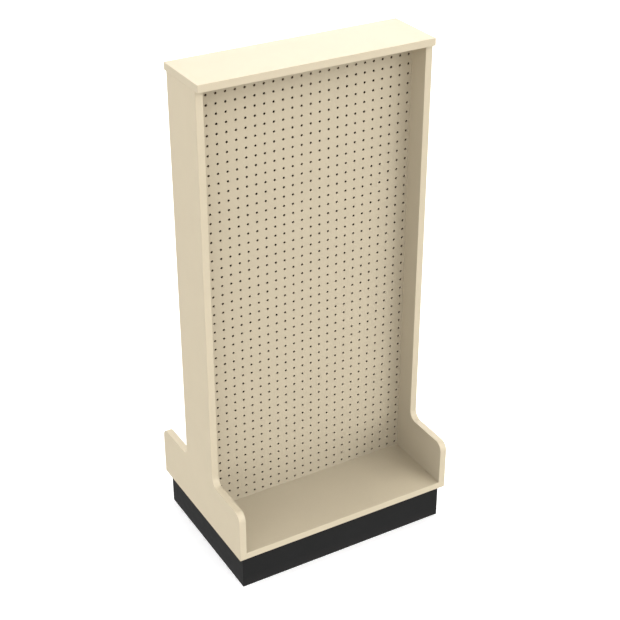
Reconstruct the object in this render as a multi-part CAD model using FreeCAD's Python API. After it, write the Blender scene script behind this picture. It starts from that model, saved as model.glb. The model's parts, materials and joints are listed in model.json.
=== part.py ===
# Double-sided pegboard display stand: laminate end panels, deck and cap round a pegboard spine, on a plinth.
# Millimetres. +X runs along the stand, -Y is its front, +Z is up. The origin is on the floor, under its centre.

import FreeCAD
import Part
import math
import os

Vector = FreeCAD.Vector
INCH = 25.4

# Driving dimensions of the whole stand.
BOARD = 0.75 * INCH  # laminate board, and the pine behind the pegboard
STAND_WIDTH = 25.25 * INCH
STAND_HEIGHT = 53.5 * INCH
BASE_DEPTH = 18 * INCH
UPPER_DEPTH = 6 * INCH
CAP_DEPTH = 7 * INCH
PLINTH_HEIGHT = 4 * INCH
PLINTH_INSET = 0.5 * INCH
WING_HEIGHT = 9.75 * INCH  # top of the low wings at each side of the deck
WING_RADIUS = 1 * INCH
BAND = 1.0  # thickness of the plastic edge banding

# Pegboard and the grooves that hold it.
PEG_PITCH = 1 * INCH
PEG_COLUMNS = 24
PEG_ROWS = 48
PEG_HOLE_RADIUS = 0.125 * INCH
PEG_THICKNESS = 0.25 * INCH
GROOVE_DEPTH = 0.125 * INCH
FRAME_WIDTH = 2 * INCH  # width of the spine's stiles and rails

# Plinth interior.
BLOCK_SIDE = 2 * INCH
CLEAT_HEIGHT = 1.5 * INCH
FLOOR_GAP = 0.75 * INCH  # under the pine pieces inside the plinth

# Fasteners.
PLAY = 0.05  # radial play of a fastener in its bore
DOWEL_RADIUS = 4.0
DOWEL_CHAMFER = 0.8
DOWEL_SHORT = 30.0
DOWEL_LONG = 40.0
DOWEL_IN_FACE = 12.0  # depth of a dowel in the face of a board
DOWEL_END_PLAY = 0.5
DECK_DOWEL_Y = 190.0
CAP_DOWEL_Y = 50.0
PLINTH_DOWEL_HEIGHTS = (35.0, 76.0)
SCREW_RADIUS = 2.1
SCREW_HEAD_RADIUS = 4.2
SCREW_POINT = 4.0
CLEAT_SCREW = 1.25 * INCH
DECK_SCREW = 2 * INCH
SPINE_SCREW = 1.5 * INCH
SPINE_SCREW_X = (75.0, 200.0)
CLEAT_TO_DECK_X = (60.0, 190.0)
CLEAT_TO_KICK_X = (30.0, 125.0, 220.0)

# Cams and bolts that draw the deck and the end panels together.
CAM_Y = 110.0
CAM_SETBACK = 34.0  # from the end of the deck to the middle of the cam
CAM_RADIUS = 7.5
CAM_HEIGHT = 12.5
CAM_HOOK = 3.8  # half the pocket that takes the bolt's head
CAM_MOUTH = 2.3  # half the slot that takes the bolt's neck
CAM_SLOT = (4.5, 0.7)  # half length and half width of the driver slots
CAM_SLOT_DEPTH = 2.0
BOLT_RADIUS = 3.0
BOLT_IN_PANEL = 11.0
BOLT_NECK_RADIUS = 2.0
BOLT_NECK = (26.0, 31.0)  # where the neck starts and ends, from the end of the deck
BOLT_HEAD_RADIUS = 3.4
BOLT_END = 35.0
BOLT_BORE_RADIUS = 4.0

# Corner braces under the cap.
BRACE_LEG = 19.0
BRACE_WIDTH = 16.0
BRACE_SHEET = 2.0
BRACE_SCREW_RADIUS = 1.75
BRACE_SCREW_HEAD = 3.4
BRACE_SCREW_HEAD_HEIGHT = 1.8
BRACE_SCREW_CROWN = 1.1  # chamfer round the top of the head
BRACE_SCREW_POINT = 2.0
BRACE_SCREW_LENGTH = 12.7
BRACE_SCREW_PLACE = 0.6  # along a leg, as a share of it

# Levelling feet, with a 5/16 in - 18 thread. Heights are from the underside of a foot's pad.
FOOT_CLEARANCE = 1.0  # from a drawn-up foot to the floor
THREAD_RADIUS = 0.15625 * INCH
THREAD_PITCH = INCH / 18
THREAD_DEPTH = 0.75
THREAD_CREST = (0.44, 0.56)  # the flat crest's start and end, as shares of the pitch
STEM_TOP = 60.0
HEX_LOW, HEX_HIGH = 11.0, 15.0
HEX_ACROSS = 0.5 * INCH
NECK_RADIUS = 3.0
BALL_RADIUS = 4.5
BALL_HEIGHT = 6.0
BALL_PLAY = 0.15
PAD_RADIUS = 15.0
PAD_RIM = 3.0
PAD_TOP_RADIUS = 9.0
PAD_HEIGHT = 8.5
NUT_BORE_PLAY = 0.08
NUT_BARREL_RADIUS = 5.2
NUT_BARREL_LENGTH = 12.0
NUT_FLANGE_RADIUS = 9.5
NUT_FLANGE = 1.5
NUT_PRONGS = 4
NUT_PRONG_LENGTH = 6.0
NUT_PRONG_WIDTH = 3.0
NUT_PRONG_THICKNESS = 1.0
NUT_PRONG_RADIUS = 8.3  # from the nut's axis to the inside of a prong
NUT_PRONG_ROOT = 0.5  # depth of a prong's root in the flange
STEM_BORE_TOP = 80.0  # end of the clearance hole in the corner block

# Places worked out from them.
OUTER_X = STAND_WIDTH / 2
INNER_X = OUTER_X - BOARD
HALF_BASE = BASE_DEPTH / 2
HALF_UPPER = UPPER_DEPTH / 2
HALF_CAP = CAP_DEPTH / 2
DECK_LOW = PLINTH_HEIGHT
DECK_TOP = PLINTH_HEIGHT + BOARD
CAP_LOW = STAND_HEIGHT - BOARD
HALF_CORE = BOARD / 2
HALF_SPINE = HALF_CORE + PEG_THICKNESS
HALF_PEGBOARD = PEG_COLUMNS * PEG_PITCH / 2
PLINTH_X = OUTER_X - PLINTH_INSET
PLINTH_Y = HALF_BASE - PLINTH_INSET
KICK_INNER_X = PLINTH_X - BOARD
KICK_INNER_Y = PLINTH_Y - BOARD
BLOCK_INNER_X = KICK_INNER_X - BLOCK_SIDE
FOOT_X = KICK_INNER_X - BLOCK_SIDE / 2
FOOT_Y = KICK_INNER_Y - BLOCK_SIDE / 2
SPINE_MIDDLE = (DECK_TOP + CAP_LOW) / 2
DOWEL_REACH = DOWEL_SHORT / 2 - DOWEL_IN_FACE  # from the face of a board to the middle of a dowel in it

ALONG_X, ALONG_Y, ALONG_Z = Vector(1, 0, 0), Vector(0, 1, 0), Vector(0, 0, 1)
SIDES = {"left": -1, "right": 1}
FACES = {"front": -1, "rear": 1}
CORNERS = {f"{face}_{side}": (SIDES[side], FACES[face]) for face in FACES for side in SIDES}


def block(x, y, z):
    """A box between two values on each axis, given in either order."""
    (x0, x1), (y0, y1), (z0, z1) = sorted(x), sorted(y), sorted(z)
    return Part.makeBox(x1 - x0, y1 - y0, z1 - z0, Vector(x0, y0, z0))


def prism(points, direction):
    """A straight prism on a closed polygon."""
    return Part.Face(Part.makePolygon(points + points[:1])).extrude(direction)


def turned(profile, place=Vector(), axis=ALONG_Z):
    """A solid turned from (radius, height) points, then stood at place along axis."""
    points = [Vector(r, 0, h) for r, h in profile]
    solid = Part.Face(Part.makePolygon(points + points[:1])).revolve(Vector(), ALONG_Z, 360)
    solid.Placement = FreeCAD.Placement(place, FreeCAD.Rotation(ALONG_Z, axis))
    return solid


def group(solids):
    """Separate solids kept together in one node."""
    return Part.makeCompound(solids)


def save(node, shape):
    """Writes one node, after checking that it holds solids the right way out."""
    if not shape.Solids or min(s.Volume for s in shape.Solids) <= 0:
        raise ValueError(f"{node} isn't made of closed solids")
    shape.exportStep(f"parts/{node}.step")


# Fasteners: each function gives the piece, and with play the bore that takes it.


def dowel(centre, axis, length, play=0.0, end_play=0.0):
    """A wooden dowel with chamfered ends, centred on a point."""
    radius, half = DOWEL_RADIUS + play, length / 2 + end_play
    neck, shoulder = radius - DOWEL_CHAMFER, half - DOWEL_CHAMFER
    profile = [(0, -half), (neck, -half), (radius, -shoulder), (radius, shoulder), (neck, half), (0, half)]
    return turned(profile, centre, axis)


def wood_screw(head, axis, length, play=0.0):
    """A countersunk wood screw with its head flush at a point, driven along axis."""
    r, r_head = SCREW_RADIUS + play, SCREW_HEAD_RADIUS + play
    cone = r_head - r
    profile = [(0, 0), (r_head, 0), (r, cone), (r, length - SCREW_POINT), (0, length)]
    return turned(profile, head, axis)


def pan_screw(seat, axis, play=0.0):
    """A pan-head screw whose head sits on a surface at a point, driven along axis."""
    r, top = BRACE_SCREW_RADIUS + play, -BRACE_SCREW_HEAD_HEIGHT
    crown = BRACE_SCREW_HEAD - BRACE_SCREW_CROWN
    profile = [(0, top), (crown, top), (BRACE_SCREW_HEAD, top + BRACE_SCREW_CROWN), (BRACE_SCREW_HEAD, 0)]
    profile += [(r, 0), (r, BRACE_SCREW_LENGTH - BRACE_SCREW_POINT), (0, BRACE_SCREW_LENGTH)]
    return turned(profile, seat, axis)


def shank_bore(seat, axis):
    """The straight hole that takes a pan-head screw's shank."""
    return Part.makeCylinder(BRACE_SCREW_RADIUS + PLAY, BRACE_SCREW_LENGTH + PLAY, seat, axis)


def bored(solid, tools):
    """The solid with every tool that reaches it cut away."""
    near = [t for t in tools if solid.BoundBox.intersect(t.BoundBox)]
    return solid.cut(group(near)).Solids[0] if near else solid


# Where the fasteners are: (point, axis) for each.


def deck_dowel_places():
    """Three dowels at each end of the deck."""
    x, z = INNER_X - DOWEL_REACH, DECK_LOW + BOARD / 2
    return [(Vector(s * x, f * DECK_DOWEL_Y, z), ALONG_X) for s in (-1, 1) for f in (-1, 0, 1)]


def cap_dowel_places():
    """Two dowels at each end of the cap."""
    x, z = OUTER_X - BOARD / 2, CAP_LOW - DOWEL_REACH
    return [(Vector(s * x, f * CAP_DOWEL_Y, z), ALONG_Z) for s in (-1, 1) for f in (-1, 1)]


def spine_dowel_places():
    """Two dowels at each joint of the spine's frame."""
    stile, rail_half = HALF_PEGBOARD - FRAME_WIDTH, FRAME_WIDTH / 2
    offsets = (-FRAME_WIDTH / 4, FRAME_WIDTH / 4)
    rails = (DECK_TOP + rail_half, SPINE_MIDDLE, CAP_LOW - rail_half)
    joints = [(s * stile, z) for s in (-1, 1) for z in rails]
    joints += [(s * rail_half, SPINE_MIDDLE) for s in (-1, 1)]
    places = [(Vector(x, 0, z + d), ALONG_X) for x, z in joints for d in offsets]
    ends = (DECK_TOP + FRAME_WIDTH, CAP_LOW - FRAME_WIDTH)
    return places + [(Vector(d, 0, z), ALONG_Z) for z in ends for d in offsets]


def plinth_dowel_places():
    """Two dowels at each end of the plinth's cross rail."""
    y = KICK_INNER_Y - DOWEL_REACH
    return [(Vector(0, f * y, z), ALONG_Y) for f in (-1, 1) for z in PLINTH_DOWEL_HEIGHTS]


def spine_screw_places():
    """Screws from under the deck up into the spine's bottom rail."""
    return [(Vector(s * x, 0, DECK_LOW), ALONG_Z) for s in (-1, 1) for x in SPINE_SCREW_X]


def cleat_deck_places():
    """Screws up through the cleats into the deck."""
    y, z = KICK_INNER_Y - BOARD / 2, PLINTH_HEIGHT - CLEAT_HEIGHT
    return [(Vector(s * x, f * y, z), ALONG_Z) for s in (-1, 1) for f in (-1, 1) for x in CLEAT_TO_DECK_X]


def cleat_kick_places():
    """Screws through the cleats into the kick boards."""
    y, z = KICK_INNER_Y - BOARD, PLINTH_HEIGHT - CLEAT_HEIGHT / 2
    return [(Vector(s * x, f * y, z), ALONG_Y * f) for s in (-1, 1) for f in (-1, 1) for x in CLEAT_TO_KICK_X]


def cam_places():
    """The side and the depth of each cam."""
    return [(s, f * CAM_Y) for s in (-1, 1) for f in (-1, 1)]


# Knock-down fittings between the deck and the end panels.


def cam_bolt(side, y):
    """A bolt screwed into the end panel, whose head the cam pulls on."""
    neck_start, neck_end = BOLT_NECK
    profile = [(0, BOLT_IN_PANEL), (BOLT_RADIUS, BOLT_IN_PANEL), (BOLT_RADIUS, -neck_start)]
    profile += [(BOLT_NECK_RADIUS, -neck_start), (BOLT_NECK_RADIUS, -neck_end)]
    profile += [(BOLT_HEAD_RADIUS, -neck_end), (BOLT_HEAD_RADIUS, -BOLT_END), (0, -BOLT_END)]
    return turned(profile, Vector(side * INNER_X, y, DECK_LOW + BOARD / 2), ALONG_X * side)


def cam_disc(side, y):
    """A cam in the deck's underside, with its hook open towards the bolt and a driver slot below."""
    x, bolt_z = side * (INNER_X - CAM_SETBACK), DECK_LOW + BOARD / 2
    end = x + side * CAM_RADIUS

    def around(centre, half):
        return centre - half, centre + half

    pocket_x = (side * (INNER_X - BOLT_NECK[1] + PLAY), side * (INNER_X - BOLT_END - PLAY))
    pocket = block(pocket_x, around(y, CAM_HOOK), around(bolt_z, CAM_HOOK))
    mouth = block((x, end), around(y, CAM_MOUTH), around(bolt_z, CAM_MOUTH))
    long, wide = CAM_SLOT
    slot_z = (DECK_LOW, DECK_LOW + CAM_SLOT_DEPTH)
    slots = [block(around(x, a), around(y, b), slot_z) for a, b in ((long, wide), (wide, long))]
    disc = Part.makeCylinder(CAM_RADIUS, CAM_HEIGHT, Vector(x, y, DECK_LOW))
    for tool in [pocket, mouth] + slots:
        disc = disc.cut(tool)
    return disc.Solids[0]


def cam_bores():
    """Holes for the cams and their bolts."""
    tools = []
    for side, y in cam_places():
        mouth = Vector(side * INNER_X, y, DECK_LOW + BOARD / 2)
        depth = BOLT_IN_PANEL + DOWEL_END_PLAY
        tools.append(Part.makeCylinder(BOLT_RADIUS + PLAY, depth, mouth, ALONG_X * side))
        tools.append(Part.makeCylinder(BOLT_BORE_RADIUS, CAM_SETBACK, mouth, ALONG_X * -side))
        centre = Vector(side * (INNER_X - CAM_SETBACK), y, DECK_LOW)
        tools.append(Part.makeCylinder(CAM_RADIUS + PLAY, CAM_HEIGHT + DOWEL_END_PLAY, centre))
    return tools


# Laminate boards.


def panel_edge(face, inset):
    """The edges of an end panel's front or rear outline from bottom to top, set in from the finished size."""
    low, top = PLINTH_HEIGHT, CAP_LOW
    base, upper = face * (HALF_BASE - inset), face * (HALF_UPPER - inset)
    crest = WING_HEIGHT - inset
    outer, inner = WING_RADIUS - inset, WING_RADIUS + inset
    diagonal = math.sqrt(0.5)

    def point(y, z):
        return Vector(0, y, z)

    shoulder = point(base - face * outer, crest - outer)
    hollow = point(upper + face * inner, crest + inner)
    return [
        Part.LineSegment(point(base, low), point(base, shoulder.z)),
        Part.Arc(
            point(base, shoulder.z),
            shoulder + point(face * outer * diagonal, outer * diagonal),
            point(shoulder.y, crest),
        ),
        Part.LineSegment(point(shoulder.y, crest), point(hollow.y, crest)),
        Part.Arc(
            point(hollow.y, crest),
            hollow - point(face * inner * diagonal, inner * diagonal),
            point(upper, hollow.z),
        ),
        Part.LineSegment(point(upper, hollow.z), point(upper, top)),
    ]


def closed_face(edges):
    """A face inside a loop of edges given in any order."""
    return Part.Face(Part.Wire(Part.__sortEdges__([e.toShape() for e in edges])))


def ends(edges):
    """The first and last points of a line of edges."""
    return edges[0].StartPoint, edges[-1].EndPoint


def end_panel(side):
    """The T-shaped panel, with the groove for the spine and its bores."""
    front, rear = panel_edge(-1, BAND), panel_edge(1, BAND)
    joins = [Part.LineSegment(a, b) for a, b in zip(ends(front), ends(rear))]
    panel = closed_face(front + rear + joins).extrude(ALONG_X * BOARD)
    panel.translate(ALONG_X * (INNER_X if side > 0 else -OUTER_X))
    groove_x = (side * INNER_X, side * (INNER_X + GROOVE_DEPTH))
    groove = block(groove_x, (-HALF_SPINE, HALF_SPINE), (DECK_TOP, CAP_LOW))
    return bored(panel, [groove] + dowel_bores() + cam_bores() + brace_bores())


def panel_bands(side):
    """The plastic edge banding on the panel's front and rear edges."""
    bands = []
    for face in FACES.values():
        outer, inner = panel_edge(face, 0), panel_edge(face, BAND)
        joins = [Part.LineSegment(a, b) for a, b in zip(ends(outer), ends(inner))]
        band = closed_face(outer + inner + joins).extrude(ALONG_X * BOARD)
        band.translate(ALONG_X * (INNER_X if side > 0 else -OUTER_X))
        bands.append(band)
    return group(bands)


def top_cap():
    x, y = OUTER_X - BAND, HALF_CAP - BAND
    core = block((-x, x), (-y, y), (CAP_LOW, STAND_HEIGHT))
    return bored(core, dowel_bores() + brace_bores())


def cap_bands():
    """Edge banding round the cap. The front and rear strips cover the ends of the side ones."""
    x, y, z = OUTER_X - BAND, HALF_CAP - BAND, (CAP_LOW, STAND_HEIGHT)
    strips = [block((-OUTER_X, OUTER_X), (f * y, f * HALF_CAP), z) for f in (-1, 1)]
    strips += [block((s * x, s * OUTER_X), (-y, y), z) for s in (-1, 1)]
    return group(strips)


def base_deck():
    x, y = INNER_X, HALF_BASE - BAND
    core = block((-x, x), (-y, y), (DECK_LOW, DECK_TOP))
    return bored(core, dowel_bores() + cam_bores() + screw_bores())


def deck_bands():
    y, z = HALF_BASE - BAND, (DECK_LOW, DECK_TOP)
    return group([block((-INNER_X, INNER_X), (f * y, f * HALF_BASE), z) for f in (-1, 1)])


def pegboards():
    """Two alike hardboard sheets, with round holes on a square pitch."""
    corners = [(-1, DECK_TOP), (1, DECK_TOP), (1, CAP_LOW), (-1, CAP_LOW)]
    outline = Part.makePolygon([Vector(s * HALF_PEGBOARD, 0, z) for s, z in corners + corners[:1]])
    holes = []
    for column in range(PEG_COLUMNS):
        x = (column + 0.5) * PEG_PITCH - HALF_PEGBOARD
        for row in range(PEG_ROWS):
            centre = Vector(x, 0, DECK_TOP + (row + 0.5) * PEG_PITCH)
            holes.append(Part.Wire(Part.Circle(centre, ALONG_Y, PEG_HOLE_RADIUS).toShape()))
    sheet = Part.Face(outline)
    sheet.cutHoles(holes)
    front = sheet.extrude(ALONG_Y * PEG_THICKNESS)
    rear = front.copy()
    front.translate(ALONG_Y * -HALF_SPINE)
    rear.translate(ALONG_Y * HALF_CORE)
    return {"front_pegboard": front, "rear_pegboard": rear}


# The pine frame between the two pegboards.


def spine_frame():
    y = (-HALF_CORE, HALF_CORE)
    full = (DECK_TOP, CAP_LOW)
    inner = HALF_PEGBOARD - FRAME_WIDTH
    half = FRAME_WIDTH / 2
    middle = (SPINE_MIDDLE - half, SPINE_MIDDLE + half)
    between_rails = (DECK_TOP + FRAME_WIDTH, CAP_LOW - FRAME_WIDTH)
    pieces = {
        "spine_left_stile": block((-HALF_PEGBOARD, -inner), y, full),
        "spine_right_stile": block((inner, HALF_PEGBOARD), y, full),
        "spine_centre_stile": block((-half, half), y, between_rails),
        "spine_bottom_rail": block((-inner, inner), y, (DECK_TOP, DECK_TOP + FRAME_WIDTH)),
        "spine_top_rail": block((-inner, inner), y, (CAP_LOW - FRAME_WIDTH, CAP_LOW)),
        "spine_middle_rail_left": block((-inner, -half), y, middle),
        "spine_middle_rail_right": block((half, inner), y, middle),
    }
    return {node: bored(piece, dowel_bores() + screw_bores()) for node, piece in pieces.items()}


# Plinth.


def kick_boards():
    """Four black boards with mitred corners."""
    up = ALONG_Z * PLINTH_HEIGHT
    boards = {}
    for name, f in FACES.items():
        outer = [Vector(s * PLINTH_X, f * PLINTH_Y, 0) for s in (-1, 1)]
        inner = [Vector(s * KICK_INNER_X, f * KICK_INNER_Y, 0) for s in (1, -1)]
        boards[f"{name}_kick_board"] = bored(prism(outer + inner, up), dowel_bores() + screw_bores())
    for name, s in SIDES.items():
        outer = [Vector(s * PLINTH_X, f * PLINTH_Y, 0) for f in (-1, 1)]
        inner = [Vector(s * KICK_INNER_X, f * KICK_INNER_Y, 0) for f in (1, -1)]
        boards[f"{name}_kick_board"] = prism(outer + inner, up)
    return boards


def plinth_frame():
    """The cross rail, the cleats that the deck is screwed to, and the corner blocks."""
    z = (FLOOR_GAP, PLINTH_HEIGHT)
    rail = block((-BOARD / 2, BOARD / 2), (-KICK_INNER_Y, KICK_INNER_Y), z)
    pieces = {"plinth_cross_rail": bored(rail, dowel_bores())}
    for corner, (s, f) in CORNERS.items():
        x = (s * BOARD / 2, s * BLOCK_INNER_X)
        y = (f * KICK_INNER_Y, f * (KICK_INNER_Y - BOARD))
        cleat = block(x, y, (PLINTH_HEIGHT - CLEAT_HEIGHT, PLINTH_HEIGHT))
        pieces[f"{corner}_cleat"] = bored(cleat, screw_bores())
        x = (s * KICK_INNER_X, s * BLOCK_INNER_X)
        y = (f * KICK_INNER_Y, f * (KICK_INNER_Y - BLOCK_SIDE))
        foot = Vector(s * FOOT_X, f * FOOT_Y, FLOOR_GAP)
        hole = Part.makeCylinder(NUT_BARREL_RADIUS, STEM_BORE_TOP - FLOOR_GAP, foot)
        pieces[f"{corner}_corner_block"] = block(x, y, z).cut(hole).cut(prong_nut(s, f)).Solids[0]
    return pieces


# Levelling feet.


def prong_nut(s, f):
    """A pronged insert nut in the underside of a corner block."""
    barrel = turned(
        [
            (THREAD_RADIUS + NUT_BORE_PLAY, FLOOR_GAP - NUT_FLANGE),
            (NUT_FLANGE_RADIUS, FLOOR_GAP - NUT_FLANGE),
            (NUT_FLANGE_RADIUS, FLOOR_GAP),
            (NUT_BARREL_RADIUS, FLOOR_GAP),
            (NUT_BARREL_RADIUS, FLOOR_GAP + NUT_BARREL_LENGTH),
            (THREAD_RADIUS + NUT_BORE_PLAY, FLOOR_GAP + NUT_BARREL_LENGTH),
        ]
    )
    half, root = NUT_PRONG_WIDTH / 2, FLOOR_GAP - NUT_PRONG_ROOT
    outline = [(-half, root), (half, root), (0, FLOOR_GAP + NUT_PRONG_LENGTH)]
    prong = prism([Vector(NUT_PRONG_RADIUS, y, z) for y, z in outline], ALONG_X * NUT_PRONG_THICKNESS)
    solid = barrel
    for i in range(NUT_PRONGS):
        turned_prong = prong.copy()
        turned_prong.rotate(Vector(), ALONG_Z, 360 / NUT_PRONGS * i)
        solid = solid.fuse(turned_prong)
    solid.translate(Vector(s * FOOT_X, f * FOOT_Y, 0))
    return solid.Solids[0]


def foot_stem(s, f):
    """The threaded stem, with a hexagon to turn it by and a ball that sits in the pad."""
    teeth = int((STEM_TOP - HEX_HIGH) / THREAD_PITCH)
    root = THREAD_RADIUS - THREAD_DEPTH
    profile = [(0, HEX_HIGH), (root, HEX_HIGH)]
    for i in range(teeth):
        low = HEX_HIGH + i * THREAD_PITCH
        profile += [(THREAD_RADIUS, low + THREAD_PITCH * part) for part in THREAD_CREST]
        profile += [(root, low + THREAD_PITCH)]
    thread = turned(profile + [(0, HEX_HIGH + teeth * THREAD_PITCH)])
    corner = HEX_ACROSS / math.sqrt(3)
    angles = [math.radians(60 * k) for k in range(6)]
    ring = [Vector(corner * math.cos(a), corner * math.sin(a), HEX_LOW) for a in angles]
    hexagon = prism(ring, ALONG_Z * (HEX_HIGH - HEX_LOW))
    neck = Part.makeCylinder(NECK_RADIUS, HEX_LOW - BALL_HEIGHT, Vector(0, 0, BALL_HEIGHT))
    ball = Part.makeSphere(BALL_RADIUS, Vector(0, 0, BALL_HEIGHT))
    stem = thread.fuse([hexagon, neck, ball])
    stem.translate(Vector(s * FOOT_X, f * FOOT_Y, FOOT_CLEARANCE))
    return stem.Solids[0]


def foot_pad(s, f):
    """The round pad that stands on the floor, with the socket for the stem's ball."""
    profile = [(0, 0), (PAD_RADIUS, 0), (PAD_RADIUS, PAD_RIM), (PAD_TOP_RADIUS, PAD_HEIGHT), (0, PAD_HEIGHT)]
    socket = Part.makeSphere(BALL_RADIUS + BALL_PLAY, Vector(0, 0, BALL_HEIGHT))
    pad = turned(profile).cut(socket)
    pad.translate(Vector(s * FOOT_X, f * FOOT_Y, FOOT_CLEARANCE))
    return pad.Solids[0]


# Corner braces that hold the cap to the end panels.


def brace_seats(s, f):
    """The screws of one brace: (point on the sheet, direction driven)."""
    y = f * (HALF_SPINE + BRACE_SHEET + BRACE_WIDTH / 2)
    reach = BRACE_LEG * BRACE_SCREW_PLACE
    up = (Vector(s * (INNER_X - reach), y, CAP_LOW - BRACE_SHEET), ALONG_Z)
    out = (Vector(s * (INNER_X - BRACE_SHEET), y, CAP_LOW - reach), ALONG_X * s)
    return [up, out]


def brace_bores():
    return [shank_bore(*seat) for s, f in CORNERS.values() for seat in brace_seats(s, f)]


def cap_brace(s, f):
    """A bent steel angle in the corner between the cap and an end panel."""
    y = f * (HALF_SPINE + BRACE_SHEET)
    leg, sheet = BRACE_LEG, BRACE_SHEET
    section = [(0, 0), (leg, 0), (leg, sheet), (sheet, sheet), (sheet, leg), (0, leg)]
    points = [Vector(s * (INNER_X - a), y, CAP_LOW - b) for a, b in section]
    brace = prism(points, ALONG_Y * (f * BRACE_WIDTH))
    return bored(brace, brace_bores())


# Bores shared by the boards they pass through.


def dowel_bores():
    short = deck_dowel_places() + cap_dowel_places() + plinth_dowel_places()
    tools = [dowel(p, axis, DOWEL_SHORT, PLAY, DOWEL_END_PLAY) for p, axis in short]
    return tools + [dowel(p, axis, DOWEL_LONG, PLAY, DOWEL_END_PLAY) for p, axis in spine_dowel_places()]


def screws():
    """The wood screws by node: (place, axis, length) for each."""
    return {
        "spine_screws": [(p, axis, SPINE_SCREW) for p, axis in spine_screw_places()],
        "cleat_to_deck_screws": [(p, axis, DECK_SCREW) for p, axis in cleat_deck_places()],
        "cleat_to_kick_screws": [(p, axis, CLEAT_SCREW) for p, axis in cleat_kick_places()],
    }


def screw_bores():
    return [wood_screw(*screw, play=PLAY) for places in screws().values() for screw in places]


def all_nodes():
    """Every node of the stand: name to shape."""
    nodes = {
        "top_cap": top_cap(),
        "cap_edge_bands": cap_bands(),
        "base_deck": base_deck(),
        "deck_edge_bands": deck_bands(),
        "cap_dowels": group([dowel(p, a, DOWEL_SHORT) for p, a in cap_dowel_places()]),
        "deck_dowels": group([dowel(p, a, DOWEL_SHORT) for p, a in deck_dowel_places()]),
        "spine_dowels": group([dowel(p, a, DOWEL_LONG) for p, a in spine_dowel_places()]),
        "plinth_dowels": group([dowel(p, a, DOWEL_SHORT) for p, a in plinth_dowel_places()]),
        "deck_cam_bolts": group([cam_bolt(*place) for place in cam_places()]),
        "deck_cam_discs": group([cam_disc(*place) for place in cam_places()]),
    }
    for name, side in SIDES.items():
        nodes[f"{name}_end_panel"] = end_panel(side)
        nodes[f"{name}_panel_edge_bands"] = panel_bands(side)
    nodes.update(pegboards())
    nodes.update(spine_frame())
    nodes.update(kick_boards())
    nodes.update(plinth_frame())
    for node, places in screws().items():
        nodes[node] = group([wood_screw(*screw) for screw in places])
    for corner, (s, f) in CORNERS.items():
        nodes[f"{corner}_cap_brace"] = cap_brace(s, f)
        nodes[f"{corner}_foot_nut"] = prong_nut(s, f)
        nodes[f"{corner}_foot_stem"] = foot_stem(s, f)
        nodes[f"{corner}_foot_pad"] = foot_pad(s, f)
    seats = [seat for s, f in CORNERS.values() for seat in brace_seats(s, f)]
    nodes["cap_brace_screws"] = group([pan_screw(*seat) for seat in seats])
    return nodes


os.makedirs("parts", exist_ok=True)
for name, shape in all_nodes().items():
    save(name, shape)
    print(f"{name:28s} {len(shape.Solids):3d} solids {shape.Volume / 1000:10.2f} cm3")
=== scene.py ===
import json
import math

import bmesh
import bpy
from mathutils import Matrix, Vector


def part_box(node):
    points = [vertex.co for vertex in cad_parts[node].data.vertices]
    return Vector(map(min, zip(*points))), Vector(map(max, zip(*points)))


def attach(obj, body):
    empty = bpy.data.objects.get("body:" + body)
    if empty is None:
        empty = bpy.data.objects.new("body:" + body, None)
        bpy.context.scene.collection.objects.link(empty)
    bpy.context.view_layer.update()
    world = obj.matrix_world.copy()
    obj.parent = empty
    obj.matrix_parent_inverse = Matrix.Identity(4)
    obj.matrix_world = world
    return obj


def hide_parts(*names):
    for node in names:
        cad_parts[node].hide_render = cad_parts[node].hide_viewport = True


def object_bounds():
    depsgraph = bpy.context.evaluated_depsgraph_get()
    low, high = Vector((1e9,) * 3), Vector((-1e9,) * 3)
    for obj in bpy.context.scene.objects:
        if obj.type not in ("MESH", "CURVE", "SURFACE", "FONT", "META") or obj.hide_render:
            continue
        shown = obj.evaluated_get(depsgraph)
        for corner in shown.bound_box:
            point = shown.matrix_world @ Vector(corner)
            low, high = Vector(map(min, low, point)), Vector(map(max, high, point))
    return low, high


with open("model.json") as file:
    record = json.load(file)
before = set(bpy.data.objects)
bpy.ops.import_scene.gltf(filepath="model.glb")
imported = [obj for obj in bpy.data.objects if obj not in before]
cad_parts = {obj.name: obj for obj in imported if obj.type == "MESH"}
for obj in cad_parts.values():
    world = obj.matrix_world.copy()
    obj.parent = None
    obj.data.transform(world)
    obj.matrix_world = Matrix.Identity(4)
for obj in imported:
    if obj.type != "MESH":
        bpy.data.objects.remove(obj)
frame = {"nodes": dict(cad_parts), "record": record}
CAD_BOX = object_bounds()

# The stand in metres, in the CAD's frame: +X along it, -Y its front, +Z up. The origin is on the floor,
# under its centre. Sizes are read from the CAD's nodes where they can be.

INCH = 0.0254
FACES = {"front": -1, "rear": 1}
SIDES = {"left": -1, "right": 1}
CORNERS = {f"{face}_{side}": (SIDES[side], FACES[face]) for face in FACES for side in SIDES}


# Shaders


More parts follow.
